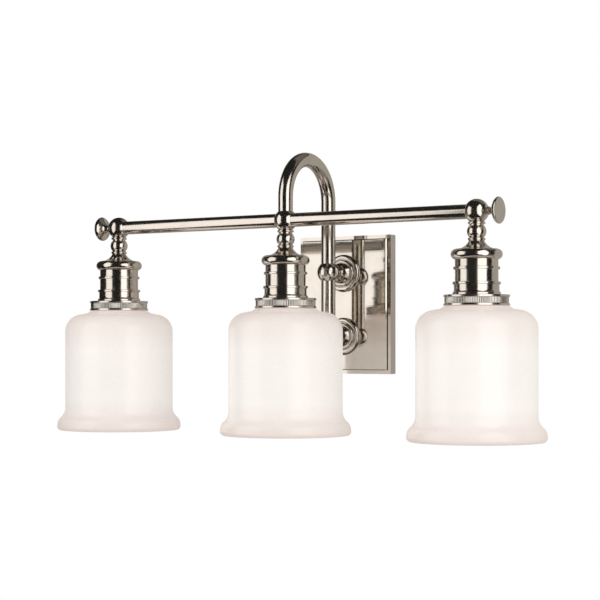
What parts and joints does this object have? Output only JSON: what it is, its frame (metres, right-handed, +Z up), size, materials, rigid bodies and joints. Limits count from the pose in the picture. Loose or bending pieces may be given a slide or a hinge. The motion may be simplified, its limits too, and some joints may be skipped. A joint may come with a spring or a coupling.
{
  "type": "vanity light bar",
  "caption": "Wall light bar for over a mirror: opal glass shades hang from a straight tube on a bent gooseneck with a rectangular backplate.",
  "frame": {"origin": "middle of the mounting strap's back face, on the wall plane and at the centre of the backplate", "axes": "+X along the lamp bar, +Y into the wall, +Z up"},
  "size_m": [0.5986, 0.2057, 0.3083],
  "materials": {
    "polished_nickel": "polished warm nickel",
    "knurled_nickel": "satin nickel, finely knurled waist",
    "opal_glass": "glossy opal white, lit from inside",
    "zinc_steel": "zinc plated",
    "green_screw": "green earth screw",
    "porcelain": "white glaze",
    "shell_brass": "rolled sheet",
    "ring_plastic": "moulded phenolic, off-white",
    "gasket_rubber": "soft white",
    "cap_aluminium": "threaded cap",
    "bulb_frosted": "frosted",
    "lead_black": "insulation",
    "lead_white": "insulation",
    "lead_green": "insulation",
    "connector_plastic": "ribbed twist-on connector"
  },
  "bodies": {
    "root": {"backplate": "polished_nickel", "mounting_strap": "zinc_steel", "backplate_screws": "polished_nickel", "ground_screw": "green_screw", "standoff_nipples": "zinc_steel", "standoff_nuts": "zinc_steel", "rosette_upper": "polished_nickel", "rosette_lower": "polished_nickel", "centre_hub": "polished_nickel", "end_ball_left": "polished_nickel", "end_ball_right": "polished_nickel", "standoff_ball_upper": "polished_nickel", "standoff_ball_lower": "polished_nickel", "bar_left": "polished_nickel", "bar_right": "polished_nickel", "rear_leg": "polished_nickel", "gooseneck": "polished_nickel", "finial_left": "polished_nickel", "finial_right": "polished_nickel", "lamp_nipples": "zinc_steel", "lamp_nuts": "zinc_steel", "neck_left": "polished_nickel", "socket_cup_left": "polished_nickel", "gallery_left": "knurled_nickel", "socket_body_left": "porcelain", "screw_shell_left": "shell_brass", "centre_contact_left": "shell_brass", "neck_centre": "polished_nickel", "socket_cup_centre": "polished_nickel", "gallery_centre": "knurled_nickel", "socket_body_centre": "porcelain", "screw_shell_centre": "shell_brass", "centre_contact_centre": "shell_brass", "neck_right": "polished_nickel", "socket_cup_right": "polished_nickel", "gallery_right": "knurled_nickel", "socket_body_right": "porcelain", "screw_shell_right": "shell_brass", "centre_contact_right": "shell_brass", "leads_black": "lead_black", "leads_white": "lead_white", "ground_lead": "lead_green", "wire_connectors": "connector_plastic"},
    "shade_left": {"shade_left": "opal_glass", "shade_gasket_left": "gasket_rubber"},
    "ring_left": {"socket_ring_left": "ring_plastic"},
    "bulb_left": {"bulb_cap_left": "cap_aluminium", "bulb_glass_left": "bulb_frosted"},
    "shade_centre": {"shade_centre": "opal_glass", "shade_gasket_centre": "gasket_rubber"},
    "ring_centre": {"socket_ring_centre": "ring_plastic"},
    "bulb_centre": {"bulb_cap_centre": "cap_aluminium", "bulb_glass_centre": "bulb_frosted"},
    "shade_right": {"shade_right": "opal_glass", "shade_gasket_right": "gasket_rubber"},
    "ring_right": {"socket_ring_right": "ring_plastic"},
    "bulb_right": {"bulb_cap_right": "cap_aluminium", "bulb_glass_right": "bulb_frosted"}
  },
  "joints": [
    {"name": "shade_drop_left", "type": "slide", "parent": "root", "child": "shade_left", "axis": [0, 0, -1], "range_m": [0, 0.008]},
    {"name": "ring_turn_left", "type": "hinge", "parent": "shade_left", "child": "ring_left", "pos_m": [-0.2286, -0.135, -0.0086], "axis": [0, 0, -1], "range_deg": [0, 1445]},
    {"name": "bulb_out_left", "type": "slide", "parent": "root", "child": "bulb_left", "axis": [0, 0, -1], "range_m": [0, 0.175]},
    {"name": "shade_drop_centre", "type": "slide", "parent": "root", "child": "shade_centre", "axis": [0, 0, -1], "range_m": [0, 0.008]},
    {"name": "ring_turn_centre", "type": "hinge", "parent": "shade_centre", "child": "ring_centre", "pos_m": [0, -0.135, -0.0086], "axis": [0, 0, -1], "range_deg": [0, 1445]},
    {"name": "bulb_out_centre", "type": "slide", "parent": "root", "child": "bulb_centre", "axis": [0, 0, -1], "range_m": [0, 0.175]},
    {"name": "shade_drop_right", "type": "slide", "parent": "root", "child": "shade_right", "axis": [0, 0, -1], "range_m": [0, 0.008]},
    {"name": "ring_turn_right", "type": "hinge", "parent": "shade_right", "child": "ring_right", "pos_m": [0.2286, -0.135, -0.0086], "axis": [0, 0, -1], "range_deg": [0, 1445]},
    {"name": "bulb_out_right", "type": "slide", "parent": "root", "child": "bulb_right", "axis": [0, 0, -1], "range_m": [0, 0.175]}
  ],
  "couplings": [
    {"joint": "ring_turn_left", "follows": "shade_drop_left", "rad_per_m": 3141.6},
    {"joint": "ring_turn_centre", "follows": "shade_drop_centre", "rad_per_m": 3141.6},
    {"joint": "ring_turn_right", "follows": "shade_drop_right", "rad_per_m": 3141.6}
  ]
}
